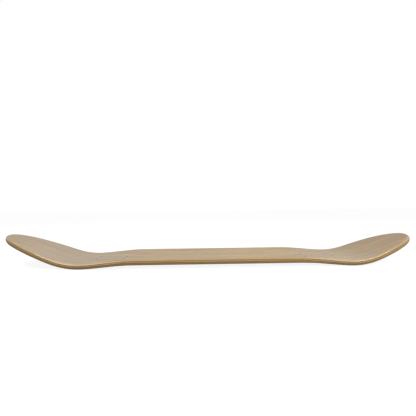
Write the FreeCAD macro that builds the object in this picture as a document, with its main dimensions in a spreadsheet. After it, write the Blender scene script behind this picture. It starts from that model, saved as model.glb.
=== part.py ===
import FreeCAD, Part
import math
import os
import Sketcher

# Skateboard deck: seven maple veneers pressed together in a mould, cut to a
# rounded outline, rounded over along the edge and drilled for two trucks.
#
# Frame: x runs lengthwise with the nose at -x and the tail at +x, y runs across,
# z is up. The origin is half way between the two tips on the centre line, on the
# plane that the flat middle of the underside rests on. Lengths are in
# millimetres and angles in degrees.

doc = FreeCAD.newDocument("skateboard_deck")

# Driving sizes, then those worked out from them

SIZES = (
    # Lengthwise layout, measured along the flat middle of the deck
    ("wheelbase", 361.95, "between the inner bolt holes of the two trucks"),
    ("nose_length", 177.8, "outer nose bolt holes to the nose tip"),
    ("tail_length", 158.75, "outer tail bolt holes to the tail tip"),
    # Truck bolts
    ("bolt_pitch_along", 53.975, "inner to outer bolt holes of one truck"),
    ("bolt_pitch_across", 41.275, "across one truck"),
    ("bolt_hole_radius", 2.75, "clearance for a 10-32 machine screw"),
    # Outline seen from above
    ("deck_width", 203.2, "across the parallel sides"),
    ("nose_shoulder_length", 154.0, "end of the straight sides to the centre of the nose's tip arc"),
    ("tail_shoulder_length", 60.5, "end of the straight sides to the centre of the tail's tip arc"),
    ("nose_tip_inset", 23.6, "half width less the radius of the nose's tip arc"),
    ("tail_tip_inset", 12.0, "half width less the radius of the tail's tip arc"),
    ("flank_inset_share", 0.333, "part of the tip inset that lies outside a flank arc's widest reach"),
    ("tip_arc_angle", 54.0, "turn of a tip arc to each side of the centre line"),
    # Kicks, measured on the underside
    ("nose_fold_offset", 44.0, "outer nose bolt holes to the fold line of the nose"),
    ("tail_fold_offset", 41.5, "outer tail bolt holes to the fold line of the tail"),
    ("kick_bend_radius", 150.0, "bend between the flat middle and a kick"),
    ("nose_kick_angle", 21.0, "rise of the nose from the flat"),
    ("tail_kick_angle", 20.5, "rise of the tail from the flat"),
    # Concave, measured on the underside
    ("seat_margin", 1.6, "flat left outside the bolt holes before the concave starts"),
    ("rail_bend_radius", 140.0, "bend between the flat strip and a rail"),
    ("rail_angle", 8.0, "slope of a rail across the middle of the deck"),
    ("fade_start_offset", 25.0, "inner bolt holes to where the concave starts to fade"),
    ("fade_end_offset", 21.5, "outer bolt holes to where the concave has faded"),
    ("kick_concave_share", 0.12, "part of the concave that is left in the kicks"),
    # Veneers
    ("face_veneer", 1.5, "thickness of the top and bottom veneers"),
    ("core_veneer", 1.6, "thickness of a lengthwise core veneer"),
    ("cross_veneer", 1.35, "thickness of a crosswise veneer"),
    ("blank_margin", 12.0, "veneer left all round before the outline is cut"),
    # Edge and cuts
    ("edge_round", 4.8, "radius of the round along the top and bottom edges"),
    ("round_limit_share", 0.47, "largest edge round as a part of the thickness"),
    ("overrun", 5.0, "how far a cutting shape runs past what it cuts"),
    # Worked out
    ("deck_thickness", "=2 * face_veneer + 3 * core_veneer + 2 * cross_veneer", "all seven veneers"),
    ("bolt_span", "=wheelbase + 2 * bolt_pitch_along", "outer bolt holes to outer bolt holes"),
    ("deck_length", "=bolt_span + nose_length + tail_length", "tip to tip, level"),
    ("nose_bolt_place", "=deck_length / 2 - nose_length", "outer bolt holes of the nose"),
    ("tail_bolt_place", "=deck_length / 2 - tail_length", "outer bolt holes of the tail"),
    ("nose_fold_place", "=nose_bolt_place + nose_fold_offset", "fold line of the nose"),
    ("tail_fold_place", "=tail_bolt_place + tail_fold_offset", "fold line of the tail"),
    ("nose_tip_radius", "=deck_width / 2 - nose_tip_inset", "tip arc of the nose"),
    ("tail_tip_radius", "=deck_width / 2 - tail_tip_inset", "tip arc of the tail"),
    ("nose_flank_radius", "=nose_tip_radius + nose_tip_inset * (1 - flank_inset_share)"
     " / (1 - sin(tip_arc_angle * 1 deg))", "flank arcs of the nose"),
    ("tail_flank_radius", "=tail_tip_radius + tail_tip_inset * (1 - flank_inset_share)"
     " / (1 - sin(tip_arc_angle * 1 deg))", "flank arcs of the tail"),
    ("nose_tip_centre", "=deck_length / 2 - nose_tip_radius", "centre of the nose's tip arc"),
    ("tail_tip_centre", "=deck_length / 2 - tail_tip_radius", "centre of the tail's tip arc"),
    ("nose_side_end", "=nose_tip_centre - nose_shoulder_length", "straight side to nose shoulder"),
    ("tail_side_end", "=tail_tip_centre - tail_shoulder_length", "straight side to tail shoulder"),
    ("seat_half", "=bolt_pitch_across / 2 + bolt_hole_radius + seat_margin", "half the flat strip"),
    ("edge_radius", "=min(edge_round; round_limit_share * deck_thickness)", "round that fits the edge"),
)

sheet = doc.addObject("Spreadsheet::Sheet", "Sizes")
for row, (alias, value, note) in enumerate(SIZES, start=1):
    sheet.set("A%d" % row, str(value))
    sheet.setAlias("A%d" % row, alias)
    sheet.set("B%d" % row, note)
doc.recompute()


def size(alias):
    """One value of the sheet."""
    return float(sheet.get(alias))


# Shape that the mould gives, as heights over the resting plane

def bend(distance, radius, angle):
    """Height and slope of a line that lies flat, bends through an arc and rises straight.
    The distance is measured from the fold, where the two straight lines would cross."""
    run = distance + radius * math.tan(angle / 2)
    if run <= 0:
        return 0.0, 0.0
    if run < radius * math.sin(angle):
        drop = math.sqrt(radius ** 2 - run ** 2)
        return radius - drop, run / drop
    return distance * math.tan(angle), math.tan(angle)


def concave_share(x):
    """Part of the full concave that is left at x, and how fast it changes along x."""
    outer, side = (size("nose_bolt_place"), -1) if x < 0 else (size("tail_bolt_place"), 1)
    start = outer - size("bolt_pitch_along") - size("fade_start_offset")
    end = outer + size("fade_end_offset")
    along = min(max((side * x - start) / (end - start), 0.0), 1.0)
    lost = 1 - size("kick_concave_share")
    share = 1 - lost * along ** 2 * (3 - 2 * along)
    return share, -side * lost * 6 * along * (1 - along) / (end - start)


def mould_point(x, y, lift):
    """Point of the pressed shape that lies square above the place x, y of the underside."""
    kick_radius = size("kick_bend_radius")
    nose, nose_slope = bend(-x - size("nose_fold_place"), kick_radius, nose_angle)
    tail, tail_slope = bend(x - size("tail_fold_place"), kick_radius, tail_angle)
    rail, rail_slope = bend(abs(y) - rail_fold, size("rail_bend_radius"), rail_angle)
    share, share_slope = concave_share(x)
    square = FreeCAD.Vector(nose_slope - tail_slope - share_slope * rail,
                            -math.copysign(share * rail_slope, y), 1)
    square.normalize()
    return FreeCAD.Vector(x, y, nose + tail + share * rail) + square * lift


# Net of the pressed surfaces: three evenly stepped zones each way, of which the
# middle ones cross in the flat strip that the trucks sit on

DEGREE = 3
KICK_STEPS = 16
MIDDLE_STEPS = 34
RAIL_STEPS = 12
STRIP_STEPS = 4
MIDDLE_ZONE = 1

nose_angle = math.radians(size("nose_kick_angle"))
tail_angle = math.radians(size("tail_kick_angle"))
rail_angle = math.radians(size("rail_angle"))
blank_half_length = size("deck_length") / 2 + size("blank_margin")
blank_half_width = size("deck_width") / 2 + size("blank_margin")

# The poles of a zone pull on the one before it from up to a step away, so a bend
# starts one step outside the flat
rail_step = (blank_half_width - size("seat_half")) / RAIL_STEPS
rail_fold = size("seat_half") + rail_step + size("rail_bend_radius") * math.tan(rail_angle / 2)


def flat_end(fold, angle):
    """Where the flat strip ends, one step short of the bend of a kick."""
    bend_start = fold - size("kick_bend_radius") * math.tan(angle / 2)
    return bend_start - (blank_half_length - bend_start) / (KICK_STEPS - 1)


LENGTHWISE_ZONES = (-blank_half_length, -flat_end(size("nose_fold_place"), nose_angle),
                    flat_end(size("tail_fold_place"), tail_angle), blank_half_length)
CROSSWISE_ZONES = (-blank_half_width, -size("seat_half"), size("seat_half"), blank_half_width)


def zone_knots(zones, steps):
    """Places that divide each zone evenly."""
    knots = [zones[0]]
    for low, high, count in zip(zones, zones[1:], steps):
        knots += [low + (high - low) * step / count for step in range(1, count + 1)]
    return knots


def pole_places(knots):
    """Places of the poles, at the means of the knots that each pole answers to."""
    clamped = [knots[0]] * DEGREE + knots + [knots[-1]] * DEGREE
    return [sum(clamped[i + 1:i + 1 + DEGREE]) / DEGREE for i in range(len(clamped) - DEGREE - 1)]


knots_along = zone_knots(LENGTHWISE_ZONES, (KICK_STEPS, MIDDLE_STEPS, KICK_STEPS))
knots_across = zone_knots(CROSSWISE_ZONES, (RAIL_STEPS, STRIP_STEPS, RAIL_STEPS))


def pressed_surface(lift):
    """Smooth surface of the pressed shape at a height above the underside."""
    poles = [[mould_point(x, y, lift) for y in pole_places(knots_across)]
             for x in pole_places(knots_along)]
    multiplicities = [[DEGREE + 1] + [1] * (len(knots) - 2) + [DEGREE + 1]
                      for knots in (knots_along, knots_across)]
    surface = Part.BSplineSurface()
    surface.buildFromPolesMultsKnots(poles, *multiplicities, knots_along, knots_across,
                                     False, False, DEGREE, DEGREE)
    return surface


def pressed_faces(lift):
    """The pressed surface as faces: a plane for the flat strip and eight curved ones round it."""
    surface = pressed_surface(lift)
    faces = []
    for i, (x_low, x_high) in enumerate(zip(LENGTHWISE_ZONES, LENGTHWISE_ZONES[1:])):
        for j, (y_low, y_high) in enumerate(zip(CROSSWISE_ZONES, CROSSWISE_ZONES[1:])):
            if i == j == MIDDLE_ZONE:
                corners = [FreeCAD.Vector(x, y, lift) for x, y in (
                    (x_low, y_low), (x_high, y_low), (x_high, y_high), (x_low, y_high))]
                faces.append(Part.Face(Part.makePolygon(corners + corners[:1])))
            else:
                patch = surface.copy()
                patch.segment(x_low, x_high, y_low, y_high)
                faces.append(patch.toShape())
    return faces


def pressed_sheet(low, high):
    """Rectangular sheet of the pressed shape between two heights above the underside."""
    surfaces = pressed_surface(low), pressed_surface(high)
    faces = pressed_faces(low) + pressed_faces(high)
    for start, end in zip(LENGTHWISE_ZONES, LENGTHWISE_ZONES[1:]):
        for y in (-blank_half_width, blank_half_width):
            faces.append(Part.makeRuledSurface(*[s.vIso(y).toShape(start, end) for s in surfaces]))
    for start, end in zip(CROSSWISE_ZONES, CROSSWISE_ZONES[1:]):
        for x in (-blank_half_length, blank_half_length):
            faces.append(Part.makeRuledSurface(*[s.uIso(x).toShape(start, end) for s in surfaces]))
    shell = Part.makeShell(faces)
    shell.sewShape()
    return Part.makeSolid(shell)


def sheet_feature(name, low, high):
    """Document object for a pressed sheet."""
    feature = doc.addObject("Part::Feature", name)
    feature.Shape = pressed_sheet(low, high)
    return feature


# Sketched bodies that cut the pressed sheet

START, END, CENTRE = 1, 2, 3
ROOT = (-1, 1)
X_AXIS = -1
UP = FreeCAD.Vector(0, 0, 1)


def sketched_body(name):
    """Body with a sketch on its level origin plane."""
    body = doc.addObject("PartDesign::Body", name)
    sketch = body.newObject("Sketcher::SketchObject", name + "_sketch")
    level = [plane for plane in body.Origin.OriginFeatures if plane.Role == "XY_Plane"][0]
    sketch.AttachmentSupport = [(level, "")]
    sketch.MapMode = "FlatFace"
    return body, sketch


def bind(sketch, kind, places, name, formula, value):
    """Named dimension of a sketch that follows a formula of the sheet."""
    index = sketch.addConstraint(Sketcher.Constraint(kind, *places, value))
    sketch.renameConstraint(index, name)
    sketch.setExpression("Constraints." + name, formula)


def pad_through(body, sketch):
    """Pad of a sketch that runs past the deck above and below."""
    pad = body.newObject("PartDesign::Pad", body.Name + "_pad")
    pad.Profile = sketch
    pad.Midplane = True
    pad.setExpression("Length", "2 * (Sizes.nose_length * tan(Sizes.nose_kick_angle * 1 deg)"
                                " + Sizes.deck_thickness + Sizes.overrun)")
    return pad


# Outline: two straight sides, joined at each end by a shoulder, a flank, a tip, a
# flank and a shoulder arc that run smoothly into each other

def end_arcs(side, end):
    """The five arcs of one end, anticlockwise; side is 1 at the tail and -1 at the nose."""
    half_width = size("deck_width") / 2
    tip_radius, flank_radius = size(end + "_tip_radius"), size(end + "_flank_radius")
    tip_x, shoulder_x = size(end + "_tip_centre"), size(end + "_side_end")
    turn_at_tip = math.radians(size("tip_arc_angle"))
    flank_x = tip_x - (flank_radius - tip_radius) * math.cos(turn_at_tip)
    flank_y = -(flank_radius - tip_radius) * math.sin(turn_at_tip)
    run, rise = flank_x - shoulder_x, half_width - flank_y
    shoulder_radius = (run ** 2 + rise ** 2 - flank_radius ** 2) / (2 * (rise - flank_radius))
    shoulder_y = half_width - shoulder_radius
    turn_at_flank = math.atan2(flank_y - shoulder_y, run)
    facing = 0 if side > 0 else math.pi
    arcs = []
    for x, y, radius, low, high in (
            (shoulder_x, -shoulder_y, shoulder_radius, -math.pi / 2, -turn_at_flank),
            (flank_x, -flank_y, flank_radius, -turn_at_flank, -turn_at_tip),
            (tip_x, 0, tip_radius, -turn_at_tip, turn_at_tip),
            (flank_x, flank_y, flank_radius, turn_at_tip, turn_at_flank),
            (shoulder_x, shoulder_y, shoulder_radius, turn_at_flank, math.pi / 2)):
        circle = Part.Circle(FreeCAD.Vector(side * x, side * y, 0), UP, radius)
        arcs.append(Part.ArcOfCircle(circle, low + facing, high + facing))
    return arcs


def side_line(side):
    """Straight side of the outline, anticlockwise; side is 1 at the far side, -1 at the near one."""
    ends = [FreeCAD.Vector(x, side * size("deck_width") / 2, 0)
            for x in (size("tail_side_end"), -size("nose_side_end"))]
    return Part.LineSegment(*ends[::side])


outline, outline_sketch = sketched_body("outline")
outline_sketch.addGeometry([side_line(-1)] + end_arcs(1, "tail") + [side_line(1)] + end_arcs(-1, "nose"))
NEAR_SIDE, TAIL_TIP, FAR_SIDE, NOSE_TIP = 0, 3, 6, 9
for piece in range(outline_sketch.GeometryCount):
    following = (piece + 1) % outline_sketch.GeometryCount
    outline_sketch.addConstraint(Sketcher.Constraint("Tangent", piece, END, following, START))
outline_sketch.addConstraint([
    Sketcher.Constraint("Horizontal", NEAR_SIDE),
    Sketcher.Constraint("Symmetric", NEAR_SIDE, START, FAR_SIDE, END, X_AXIS),
    Sketcher.Constraint("Symmetric", NEAR_SIDE, END, FAR_SIDE, START, X_AXIS)])
for tip in (TAIL_TIP, NOSE_TIP):
    outline_sketch.addConstraint([
        Sketcher.Constraint("PointOnObject", tip, CENTRE, X_AXIS),
        Sketcher.Constraint("Vertical", tip, START, tip, END),
        Sketcher.Constraint("Equal", tip - 1, tip + 1)])
for kind, places, name in (
        ("DistanceY", (NEAR_SIDE, END, FAR_SIDE, START), "deck_width"),
        ("DistanceX", (NEAR_SIDE, START) + ROOT, "nose_side_end"),
        ("DistanceX", ROOT + (NEAR_SIDE, END), "tail_side_end"),
        ("DistanceX", (NOSE_TIP, CENTRE) + ROOT, "nose_tip_centre"),
        ("DistanceX", ROOT + (TAIL_TIP, CENTRE), "tail_tip_centre"),
        ("Radius", (NOSE_TIP,), "nose_tip_radius"),
        ("Radius", (TAIL_TIP,), "tail_tip_radius"),
        ("Radius", (NOSE_TIP + 1,), "nose_flank_radius"),
        ("Radius", (TAIL_TIP + 1,), "tail_flank_radius")):
    bind(outline_sketch, kind, places, name, "Sizes." + name, size(name))
for tip, name in ((NOSE_TIP, "nose_tip_turn"), (TAIL_TIP, "tail_tip_turn")):
    bind(outline_sketch, "Angle", (tip,), name, "2 * Sizes.tip_arc_angle * 1 deg",
         2 * math.radians(size("tip_arc_angle")))
pad_through(outline, outline_sketch)

# Bolt holes: four at the tail truck, repeated at the nose truck

drill, drill_sketch = sketched_body("drill")
for place, steps_in in (("outer", 0), ("inner", 1)):
    for row, side in (("near", -1), ("far", 1)):
        along = size("tail_bolt_place") - steps_in * size("bolt_pitch_along")
        across = size("bolt_pitch_across") / 2
        circle = Part.Circle(FreeCAD.Vector(along, side * across, 0), UP, size("bolt_hole_radius"))
        hole = drill_sketch.addGeometry(circle)
        outward = ROOT + (hole, CENTRE)
        label = "%s_%s_" % (place, row)
        bind(drill_sketch, "DistanceX", outward, label + "along",
             "Sizes.tail_bolt_place - %d * Sizes.bolt_pitch_along" % steps_in, along)
        bind(drill_sketch, "DistanceY", outward if side > 0 else (hole, CENTRE) + ROOT, label + "across",
             "Sizes.bolt_pitch_across / 2", across)
        bind(drill_sketch, "Radius", (hole,), label + "radius",
             "Sizes.bolt_hole_radius", size("bolt_hole_radius"))
tail_holes = pad_through(drill, drill_sketch)
doc.recompute()
both_trucks = drill.newObject("PartDesign::LinearPattern", "both_trucks")
both_trucks.Originals = [tail_holes]
both_trucks.Direction = (drill_sketch, ["H_Axis"])
both_trucks.Reversed = True
both_trucks.setExpression("Length", "Sizes.wheelbase + Sizes.bolt_pitch_along")
both_trucks.Occurrences = 2
drill.Tip = both_trucks

# Whole deck: pressed, cut to the outline, rounded along the edge and drilled

pressed_stack = sheet_feature("pressed_stack", 0, size("deck_thickness"))
cut_stack = doc.addObject("Part::Common", "cut_stack")
cut_stack.Base = pressed_stack
cut_stack.Tool = outline
doc.recompute()


def rim_edges(shape):
    """Numbers of the edges where the upright wall of the outline meets the two faces."""
    rims = []
    for face in shape.Faces:
        u_low, u_high, v_low, v_high = face.ParameterRange
        normal = face.normalAt((u_low + u_high) / 2, (v_low + v_high) / 2)
        if math.hypot(normal.x, normal.y) > abs(normal.z):
            rims += [edge for edge in face.Edges if edge.BoundBox.ZLength < edge.Length / 2]
    return [number for number, edge in enumerate(shape.Edges, start=1)
            if any(edge.isSame(rim) for rim in rims)]


rounded_stack = doc.addObject("Part::Fillet", "rounded_stack")
rounded_stack.Base = cut_stack
rounded_stack.Edges = [(number, size("edge_radius"), size("edge_radius"))
                       for number in rim_edges(cut_stack.Shape)]
drilled_stack = doc.addObject("Part::Cut", "drilled_stack")
drilled_stack.Base = rounded_stack
drilled_stack.Tool = drill
doc.recompute()

# Veneers from the underside up, each the part of the deck that lies in its own
# pressed sheet; the outer two sheets run past the deck

VENEERS = (
    ("bottom_face_veneer", "face_veneer"),
    ("lower_core_veneer", "core_veneer"),
    ("lower_cross_veneer", "cross_veneer"),
    ("middle_core_veneer", "core_veneer"),
    ("upper_cross_veneer", "cross_veneer"),
    ("upper_core_veneer", "core_veneer"),
    ("top_face_veneer", "face_veneer"),
)

veneers = []
glue_line = 0
for name, kind in VENEERS:
    low, high = glue_line, glue_line + size(kind)
    glue_line = high
    if name == VENEERS[0][0]:
        low -= size("overrun")
    if name == VENEERS[-1][0]:
        high += size("overrun")
    veneer = doc.addObject("Part::Common", name)
    veneer.Label = name
    veneer.Base = drilled_stack
    veneer.Tool = sheet_feature(name + "_sheet", low, high)
    veneers.append(veneer)
doc.recompute()

# Checks and files

for item in doc.Objects:
    if "Invalid" in item.State or "Error" in item.State:
        raise RuntimeError("%s failed: %s" % (item.Label, item.State))
for sketch in (outline_sketch, drill_sketch):
    if not sketch.FullyConstrained:
        raise RuntimeError("%s is not fully constrained" % sketch.Label)
for veneer in veneers:
    if veneer.Shape.isNull() or not veneer.Shape.isValid() or len(veneer.Shape.Solids) != 1:
        raise RuntimeError("%s is not one valid solid" % veneer.Label)

os.makedirs("parts", exist_ok=True)
for veneer in veneers:
    veneer.Shape.exportStep("parts/%s.step" % veneer.Label)
    print("%-20s %9.1f mm3" % (veneer.Label, veneer.Shape.Volume))
print("deck %.1f mm3, %.1f mm thick" % (drilled_stack.Shape.Volume, size("deck_thickness")))
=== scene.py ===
import math

import bpy
from mathutils import Matrix, Vector

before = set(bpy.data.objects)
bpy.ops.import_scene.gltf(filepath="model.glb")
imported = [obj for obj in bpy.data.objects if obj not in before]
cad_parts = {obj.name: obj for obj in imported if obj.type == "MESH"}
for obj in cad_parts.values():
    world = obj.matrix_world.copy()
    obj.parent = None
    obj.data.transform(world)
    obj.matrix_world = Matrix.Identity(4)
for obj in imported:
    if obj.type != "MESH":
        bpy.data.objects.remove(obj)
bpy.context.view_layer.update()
scene = bpy.context.scene
scene.view_settings.view_transform = "Standard"

# Camera, from the outline of the deck in the photograph: low in front of the near
# side, a little towards the nose, and almost level

IMAGE_WIDTH = 416
FOCAL_PIXELS = 410.8
SENSOR_WIDTH = 36
NEAREST_SEEN, FURTHEST_SEEN = 0.01, 100
CAMERA_PLACE = Vector((-0.0337, -0.8385, 0.10785))
YAW, PITCH, ROLL = 0.03588, -0.00174, -0.01071

camera_data = bpy.data.cameras.new("camera")
camera_data.sensor_width = SENSOR_WIDTH
camera_data.lens = FOCAL_PIXELS / IMAGE_WIDTH * SENSOR_WIDTH
camera_data.clip_start, camera_data.clip_end = NEAREST_SEEN, FURTHEST_SEEN
camera = bpy.data.objects.new("camera", camera_data)
scene.collection.objects.link(camera)
forward = Vector((math.sin(YAW) * math.cos(PITCH), math.cos(YAW) * math.cos(PITCH), -math.sin(PITCH)))
level = Vector((math.cos(YAW), -math.sin(YAW), 0))
upright = level.cross(forward)
right = level * math.cos(ROLL) + upright * math.sin(ROLL)
up = upright * math.cos(ROLL) - level * math.sin(ROLL)
turn = Matrix((right, up, -forward)).transposed().to_4x4()
camera.matrix_world = Matrix.Translation(CAMERA_PLACE) @ turn
scene.camera = camera

# Where the mould bends the veneers, in metres, how steeply, and how softly each fold is rounded

NOSE_FOLD, NOSE_SLOPE = 0.2694, math.tan(math.radians(21.0))
TAIL_FOLD, TAIL_SLOPE = 0.286, math.tan(math.radians(20.5))
RAIL_FOLD, RAIL_SLOPE = 0.042, math.tan(math.radians(8.0))
KICK_SOFTNESS, RAIL_SOFTNESS = 0.05, 0.02

# The concave is full up to the first distance from the middle, and this share is left past the second

CONCAVE_FADE = (0.16, 0.26)
CONCAVE_LEFT_SHARE = 0.12


class Nodes:
    """Short way to write the nodes of a material or of the world."""

    def __init__(self, owner):
        owner.use_nodes = True
        self.tree = owner.node_tree
        self.tree.nodes.clear()

    def add(self, kind, inputs=None, **settings):
        """A node whose inputs are values or the outputs of other nodes."""
        node = self.tree.nodes.new(kind)
        for name, value in settings.items():
            setattr(node, name, value)
        for name, value in (inputs or {}).items():
            if isinstance(value, bpy.types.NodeSocket):
                self.tree.links.new(value, node.inputs[name])
            else:
                node.inputs[name].default_value = value
        return node

    def math(self, operation, a, b=0.0):
        return self.add("ShaderNodeMath", {0: a, 1: b}, operation=operation).outputs[0]

    def times(self, a, b):
        return self.math("MULTIPLY", a, b)

    def absolute(self, value):
        return self.math("ABSOLUTE", value)

    def split(self, vector):
        return self.add("ShaderNodeSeparateXYZ", {"Vector": vector}).outputs

    def remap(self, value, low, high, to_low=0.0, to_high=1.0):
        """Smooth step from one value to another."""
        node = self.add("ShaderNodeMapRange", {"Value": value, "From Min": low, "From Max": high,
                                               "To Min": to_low, "To Max": to_high},
                        interpolation_type="SMOOTHSTEP")
        return node.outputs["Result"]

    def mix(self, share, a, b):
        return self.add("ShaderNodeMix", {0: share, 6: a, 7: b}, data_type="RGBA").outputs[2]

    def layer(self, under, mask, start, full, share, over):
        """A colour with a share of another over it where the mask is full, and none before it starts."""
        return self.mix(self.remap(mask, start, full, 0.0, share), under, over)

    def noise(self, vector, detail, roughness):
        return self.add("ShaderNodeTexNoise", {"Vector": vector, "Scale": 1.0, "Detail": detail,
                                               "Roughness": roughness}).outputs[0]

    def stretched(self, coordinates, offset, rates, lengthwise):
        """Coordinates that draw a texture out along the grain."""
        along, across, through = rates
        scale = (along, across, through) if lengthwise else (across, along, through)
        return self.add("ShaderNodeMapping", {"Vector": coordinates, "Location": offset,
                                              "Scale": scale}).outputs[0]

    def risen(self, distance, fold, slope, softness):
        """Height that a surface gains past a fold, with the fold rounded."""
        past = self.add("ShaderNodeMath", {0: self.math("SUBTRACT", distance, fold), 1: 0.0, 2: softness},
                        operation="SMOOTH_MAX").outputs[0]
        return self.times(past, slope)

    def unpressed(self):
        """Coordinates in the flat veneers before the mould bent them, so grain follows the bends."""
        place = self.split(self.add("ShaderNodeTexCoord").outputs["Object"])
        nose = self.risen(self.times(place["X"], -1.0), NOSE_FOLD, NOSE_SLOPE, KICK_SOFTNESS)
        tail = self.risen(place["X"], TAIL_FOLD, TAIL_SLOPE, KICK_SOFTNESS)
        rail = self.risen(self.absolute(place["Y"]), RAIL_FOLD, RAIL_SLOPE, RAIL_SOFTNESS)
        faded = self.remap(self.absolute(place["X"]), *CONCAVE_FADE, 1.0, CONCAVE_LEFT_SHARE)
        height = self.math("SUBTRACT", place["Z"], self.math("ADD", nose, tail))
        height = self.math("SUBTRACT", height, self.times(rail, faded))
        return self.add("ShaderNodeCombineXYZ", {"X": place["X"], "Y": place["Y"], "Z": height}).outputs[0]

    def seen(self):
        """1 for rays from the camera, also by way of gloss or glass, and 0 for those that light things."""
        ray = self.add("ShaderNodeLightPath").outputs
        mirrored = self.math("MAXIMUM", ray["Is Glossy Ray"], ray["Is Transmission Ray"])
        return self.math("MAXIMUM", ray["Is Camera Ray"], mirrored)


def shaded(colour, share):
    return (*[share * c for c in colour[:3]], 1)


# Colours of the broad faces, some of them partly painted sheen and shade at the nose and tail, and painted
# shade for the bolt holes' walls and the edge's underside

FACE_LIGHT, FACE_DARK = (0.635, 0.498, 0.329, 1), (0.365, 0.265, 0.165, 1)
PINK, GOLD, PALE_AND_SHEEN = (0.525, 0.375, 0.265, 1), (0.555, 0.402, 0.205, 1), (0.5, 0.405, 0.31, 1)
ASH, TAN_AND_SHADE = (0.43, 0.36, 0.28, 1), (0.35, 0.243, 0.135, 1)
# Painted shade for the bolt holes' walls and for the underside of the edge
PAINTED_HOLE_SHADE, PAINTED_UNDER_SHADE = (0.12, 0.08, 0.045, 1), (0.06, 0.035, 0.012, 1)

# Colours of the routed edge of each kind of veneer: beside the fibres and at their ends

SANDED, SANDED_END = (0.55, 0.37, 0.165, 1), (0.24, 0.14, 0.042, 1)
CORE, CORE_END = (0.52, 0.335, 0.135, 1), (0.22, 0.12, 0.034, 1)
CROSS, CROSS_END = (0.30, 0.18, 0.07, 1), (0.20, 0.12, 0.048, 1)
# The bottom veneer's edge colours are partly its wood and partly painted shade along the deck's lower edge
BOTTOM_WOOD_AND_SHADE, BOTTOM_END_AND_SHADE = (0.235, 0.145, 0.045, 1), (0.14, 0.085, 0.027, 1)

# Noises of the wood: their rates per metre along and across the grain and through the veneer,
# their detail and roughness, and the order in which they take a veneer's offsets, which are its
# seed times the steps

SEED_STEPS = (3.7, 5.1, 1.3)
NOISES = {
    "fibre": ((8, 420, 30), 5, 0.6, (0, 1, 2)),
    "streak": ((2.2, 46, 10), 3, 0.5, (0, 1, 2)),
    "band": ((1.1, 15, 4), 2, 0.4, (0, 1, 2)),
    "cloud": ((13, 80, 12), 4, 0.6, (0, 1, 2)),
    "patch": ((15, 65, 12), 4, 0.6, (1, 2, 0)),
    "mineral": ((6, 55, 12), 4, 0.55, (2, 0, 1)),
    "vein": ((9, 105, 20), 2, 0.5, (1, 0, 2)),
    "curl": ((85, 38, 12), 1, 0.5, (0, 1, 2)),
    "ply_fibre": ((14, 900, 900), 4, 0.6, (0, 1, 2)),
}

# The figure is a wave that turns this many radians as the band noise goes from 0 to 1

FIGURE_RATE = 75.0

# Flecks are the hearts of long cells. A cell's fleck starts at the first distance from its heart
# and is full at the second.

FLECK_RATES = (130, 1500, 60)
FLECK_RIM = (0.2, 0.1)

# Mineral streaks gather round the trucks. Away from the middle of the deck they grow over the
# first pair of distances, and towards it from the ends over the second.

TRUCKS_FROM, TRUCKS_TO = (0.12, 0.225), (0.36, 0.24)
TRUCKS_GAIN = 0.22

# Layers over the light wood of a face: the mask, where it starts and where it is full, the
# largest share and the colour. X runs from nose to tail, and from_middle both ways.

FACE_LAYERS = (
    ("fibre", 0.3, 0.72, 1.0, FACE_DARK),
    ("streak", 0.42, 0.66, 0.75, shaded(FACE_DARK, 0.88)),
    ("figure", 0.3, 1.0, 0.38, shaded(FACE_DARK, 0.82)),
    ("cloud", 0.36, 0.66, 0.55, PINK),
    ("patch", 0.38, 0.68, 0.5, GOLD),
    ("X", -0.22, -0.03, 0.45, GOLD),
    # Darker tail kick: partly the wood's tone, partly painted shade
    ("X", 0.24, 0.36, 0.36, TAN_AND_SHADE),
    # Paler, greyer nose: partly the wood's tone, partly a painted sheen
    ("X", -0.2, -0.3, 0.45, PALE_AND_SHEEN),
    ("from_middle", 0.33, 0.4, 0.42, TAN_AND_SHADE),
    ("mineral", 0.5, 0.85, 0.6, ASH),
    ("vein", 0.45, 0.68, 0.5, shaded(FACE_DARK, 0.95)),
    ("curl", 0.36, 0.64, 0.15, shaded(FACE_DARK, 0.95)),
    ("fleck", *FLECK_RIM, 0.35, shaded(FACE_DARK, 0.6)),
)

# Where each mask of the edge starts and where it is full. The lying ones read the upright part
# of the surface's normal, the turns its angle in radians from straight across the grain, and
# the bored ones the distance in metres from the deck's middle. The coat fades out by its turn.

ROUTED_LYING = (0.88, 0.7)
UPPER_ARRIS_LYING = (0.1, 0.5)
# Painted shade on the edge's underside, where the normal points down
UNDER_SHADE_LYING = (-0.3, -0.8)
END_GRAIN_TURN = (0.55, 1.05)
COAT_FADE_TURN = (0.9, 1.12)
# The bored masks place painted shade on the bolt holes' walls
BORED_ACROSS, BORED_ALONG = (0.04, 0.03), (0.32, 0.3)
PLY_FIBRE_RANGE = (0.3, 0.72)
# Shares of the ply fibres, of the end grain, and of the painted shade in the bolt holes and under the edge
PLY_FIBRE_SHARE, END_GRAIN_SHARE, HOLE_SHADE_SHARE, UNDER_SHADE_SHARE = 0.5, 0.8, 0.7, 0.7

# Gloss and relief of the wood

FLECK_DEPTH_SHARE = 0.5
RELIEF_STRENGTH, RELIEF_DEPTH = 0.12, 0.0004
FACE_ROUGHNESS, FIBRE_RANGE = (0.5, 0.62), (0.25, 0.75)
LACQUER_SMOOTHING, OPEN_GRAIN_ROUGHENING = 0.3, 0.35
SPECULAR_LEVEL = 0.3
COAT_WEIGHT, COAT_ROUGHNESS = 0.6, 0.26


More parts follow.
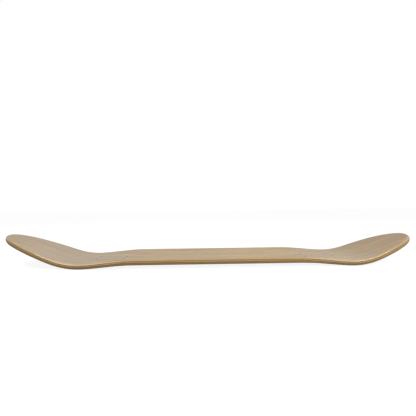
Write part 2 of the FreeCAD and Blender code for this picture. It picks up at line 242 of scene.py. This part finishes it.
def wood_masks(nodes, seed, lengthwise):
    """Textures of a veneer's wood and distances over the deck, by the names that the layers use."""
    coordinates = nodes.unpressed()
    parts = nodes.split(coordinates)
    offset = [seed * step for step in SEED_STEPS]
    masks = {"X": parts["X"], "from_middle": nodes.absolute(parts["X"]),
             "from_centre_line": nodes.absolute(parts["Y"])}
    for mask, (rates, detail, roughness, order) in NOISES.items():
        drawn = nodes.stretched(coordinates, [offset[axis] for axis in order], rates, lengthwise)
        masks[mask] = nodes.noise(drawn, detail, roughness)
    masks["figure"] = nodes.math("SINE", nodes.times(masks["band"], FIGURE_RATE))
    drawn = nodes.stretched(coordinates, offset, FLECK_RATES, lengthwise)
    masks["fleck"] = nodes.add("ShaderNodeTexVoronoi", {"Vector": drawn, "Scale": 1.0},
                               feature="F1").outputs["Distance"]
    over_trucks = nodes.times(nodes.remap(masks["from_middle"], *TRUCKS_FROM),
                              nodes.remap(masks["from_middle"], *TRUCKS_TO))
    masks["mineral"] = nodes.math("ADD", masks["mineral"], nodes.times(over_trucks, TRUCKS_GAIN))
    return masks


def face_colour(nodes, masks):
    """Light wood under all the layers of a broad face."""
    wood = FACE_LIGHT
    for mask, start, full, share, colour in FACE_LAYERS:
        wood = nodes.layer(wood, masks[mask], start, full, share, colour)
    return wood


def edge_colour(nodes, masks, normal, turned, edge, end_grain):
    """Routed wood, darker at the ends of the fibres, with painted shade in the bolt holes and on its
    underside.
    """
    wood = nodes.layer(edge, masks["ply_fibre"], *PLY_FIBRE_RANGE, PLY_FIBRE_SHARE, end_grain)
    wood = nodes.layer(wood, turned, *END_GRAIN_TURN, END_GRAIN_SHARE, end_grain)
    bored = nodes.times(nodes.remap(masks["from_centre_line"], *BORED_ACROSS),
                        nodes.remap(masks["from_middle"], *BORED_ALONG))
    # Painted shade in the bolt holes
    wood = nodes.mix(nodes.times(bored, HOLE_SHADE_SHARE), wood, PAINTED_HOLE_SHADE)
    # Painted shade on the underside of the edge
    return nodes.layer(wood, normal["Z"], *UNDER_SHADE_LYING, UNDER_SHADE_SHARE, PAINTED_UNDER_SHADE)


def relief(nodes, masks, routed):
    """Bumps of the fibres, with the flecks sunk into the broad faces."""
    fleck = nodes.remap(masks["fleck"], *FLECK_RIM)
    face_height = nodes.math("SUBTRACT", masks["fibre"], nodes.times(fleck, FLECK_DEPTH_SHARE))
    height = nodes.add("ShaderNodeMix", {0: routed, 2: face_height, 3: masks["ply_fibre"]}).outputs[0]
    return nodes.add("ShaderNodeBump", {"Height": height, "Strength": RELIEF_STRENGTH,
                                        "Distance": RELIEF_DEPTH}).outputs[0]


def maple(name, seed, lengthwise, edge, end_grain):
    """Lacquered maple whose grain runs along the deck or across it. Broad faces show fibres,
    veins, figure, curl, flecks and mineral streaks, routed edges a warmer and glossier wood
    with painted shade on its lower side, and the ends of the fibres a darker and duller one."""
    material = bpy.data.materials.new(name)
    nodes = Nodes(material)
    masks = wood_masks(nodes, seed, lengthwise)

    normal = nodes.split(nodes.add("ShaderNodeNewGeometry").outputs["Normal"])
    end_axis, side_axis = "XY" if lengthwise else "YX"
    turned = nodes.math("ARCTAN2", nodes.absolute(normal[end_axis]), nodes.absolute(normal[side_axis]))
    routed = nodes.remap(nodes.absolute(normal["Z"]), *ROUTED_LYING)
    open_grain = nodes.times(routed, nodes.remap(turned, *END_GRAIN_TURN))
    lacquered = nodes.math("SUBTRACT", routed, open_grain)
    upper_arris = nodes.times(nodes.remap(normal["Z"], *UPPER_ARRIS_LYING), routed)

    colour = nodes.mix(routed, face_colour(nodes, masks),
                       edge_colour(nodes, masks, normal, turned, edge, end_grain))
    roughness = nodes.math("SUBTRACT", nodes.remap(masks["fibre"], *FIBRE_RANGE, *FACE_ROUGHNESS),
                           nodes.times(lacquered, LACQUER_SMOOTHING))
    roughness = nodes.math("ADD", roughness, nodes.times(open_grain, OPEN_GRAIN_ROUGHENING))
    coat = nodes.times(nodes.remap(turned, *COAT_FADE_TURN, COAT_WEIGHT, 0.0), upper_arris)
    bump = relief(nodes, masks, routed)
    surface = nodes.add("ShaderNodeBsdfPrincipled", {
        "Base Color": colour, "Roughness": roughness, "Specular IOR Level": SPECULAR_LEVEL,
        "Coat Weight": coat, "Coat Roughness": COAT_ROUGHNESS,
        "Normal": bump, "Coat Normal": bump}).outputs[0]
    nodes.add("ShaderNodeOutputMaterial", {"Surface": surface})
    return material


# Each veneer's material, seed, run of the grain (True is lengthwise) and edge colours

WOODS = {
    "top_face_veneer": ("top_face_wood", 1, True, SANDED, SANDED_END),
    "upper_core_veneer": ("upper_core_wood", 2, True, CORE, CORE_END),
    "upper_cross_veneer": ("upper_cross_wood", 3, False, CROSS, CROSS_END),
    "middle_core_veneer": ("middle_core_wood", 4, True, CORE, CORE_END),
    "lower_cross_veneer": ("lower_cross_wood", 5, False, CROSS, CROSS_END),
    "lower_core_veneer": ("lower_core_wood", 6, True, CORE, CORE_END),
    "bottom_face_veneer": ("bottom_face_wood", 7, True, BOTTOM_WOOD_AND_SHADE, BOTTOM_END_AND_SHADE),
}
for node_name, wood_facts in WOODS.items():
    material = maple(*wood_facts)
    for material_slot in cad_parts[node_name].material_slots:
        material_slot.material = material

# Floor that is white to the camera and keeps the deck's shadow. It lies a hair under the deck
# and reaches out to about the horizon.

WHITE = (1, 1, 1, 1)
FLOOR_PAPER = (0.28, 0.28, 0.28, 1)
FLOOR_GLOW = 0.9
FLOOR_HALF = 20.0
FLOOR_GAP = 0.0002

floor_material = bpy.data.materials.new("floor_paper")
nodes = Nodes(floor_material)
paper = nodes.add("ShaderNodeBsdfDiffuse", {"Color": FLOOR_PAPER}).outputs[0]
glow = nodes.add("ShaderNodeEmission", {"Color": WHITE, "Strength": FLOOR_GLOW}).outputs[0]
no_glow = nodes.add("ShaderNodeEmission", {"Strength": 0.0}).outputs[0]
lift = nodes.add("ShaderNodeMixShader", {0: nodes.seen(), 1: no_glow, 2: glow}).outputs[0]
both = nodes.add("ShaderNodeAddShader", {0: paper, 1: lift}).outputs[0]
nodes.add("ShaderNodeOutputMaterial", {"Surface": both})

corner_signs = ((-1, -1), (1, -1), (1, 1), (-1, 1))
floor_corners = [(x * FLOOR_HALF, y * FLOOR_HALF, -FLOOR_GAP) for x, y in corner_signs]
floor_mesh = bpy.data.meshes.new("floor")
floor_mesh.from_pydata(floor_corners, [], [(0, 1, 2, 3)])
floor_mesh.materials.append(floor_material)
floor = bpy.data.objects.new("floor", floor_mesh)
scene.collection.objects.link(floor)

# World that is white to the camera and lights the deck evenly from all round

BACKDROP_LEVEL = 1.0
AMBIENT_LEVEL = 0.285

world = bpy.data.worlds.new("studio")
scene.world = world
nodes = Nodes(world)
backdrop = nodes.add("ShaderNodeBackground", {"Color": WHITE, "Strength": BACKDROP_LEVEL}).outputs[0]
ambient = nodes.add("ShaderNodeBackground", {"Color": WHITE, "Strength": AMBIENT_LEVEL}).outputs[0]
sky = nodes.add("ShaderNodeMixShader", {0: nodes.seen(), 1: ambient, 2: backdrop}).outputs[0]
nodes.add("ShaderNodeOutputWorld", {"Surface": sky})

# Three soft boxes over the near side, all facing the middle of the deck: place and power in watts

BOX_SIDE = 0.7
SOFT_BOXES = {
    "left_box": ((-0.6, -1.0, 1.2), 11.3),
    "right_box": ((0.85, -0.8, 1.2), 7.3),
    "tail_box": ((1.1, -1.2, 0.6), 11.4),
}
for name, (place, power) in SOFT_BOXES.items():
    light = bpy.data.lights.new(name, "AREA")
    light.shape = "SQUARE"
    light.size = BOX_SIDE
    light.energy = power
    soft_box = bpy.data.objects.new(name, light)
    soft_box.location = place
    soft_box.rotation_mode = "QUATERNION"
    soft_box.rotation_quaternion = (-Vector(place)).to_track_quat("-Z", "Y")
    scene.collection.objects.link(soft_box)
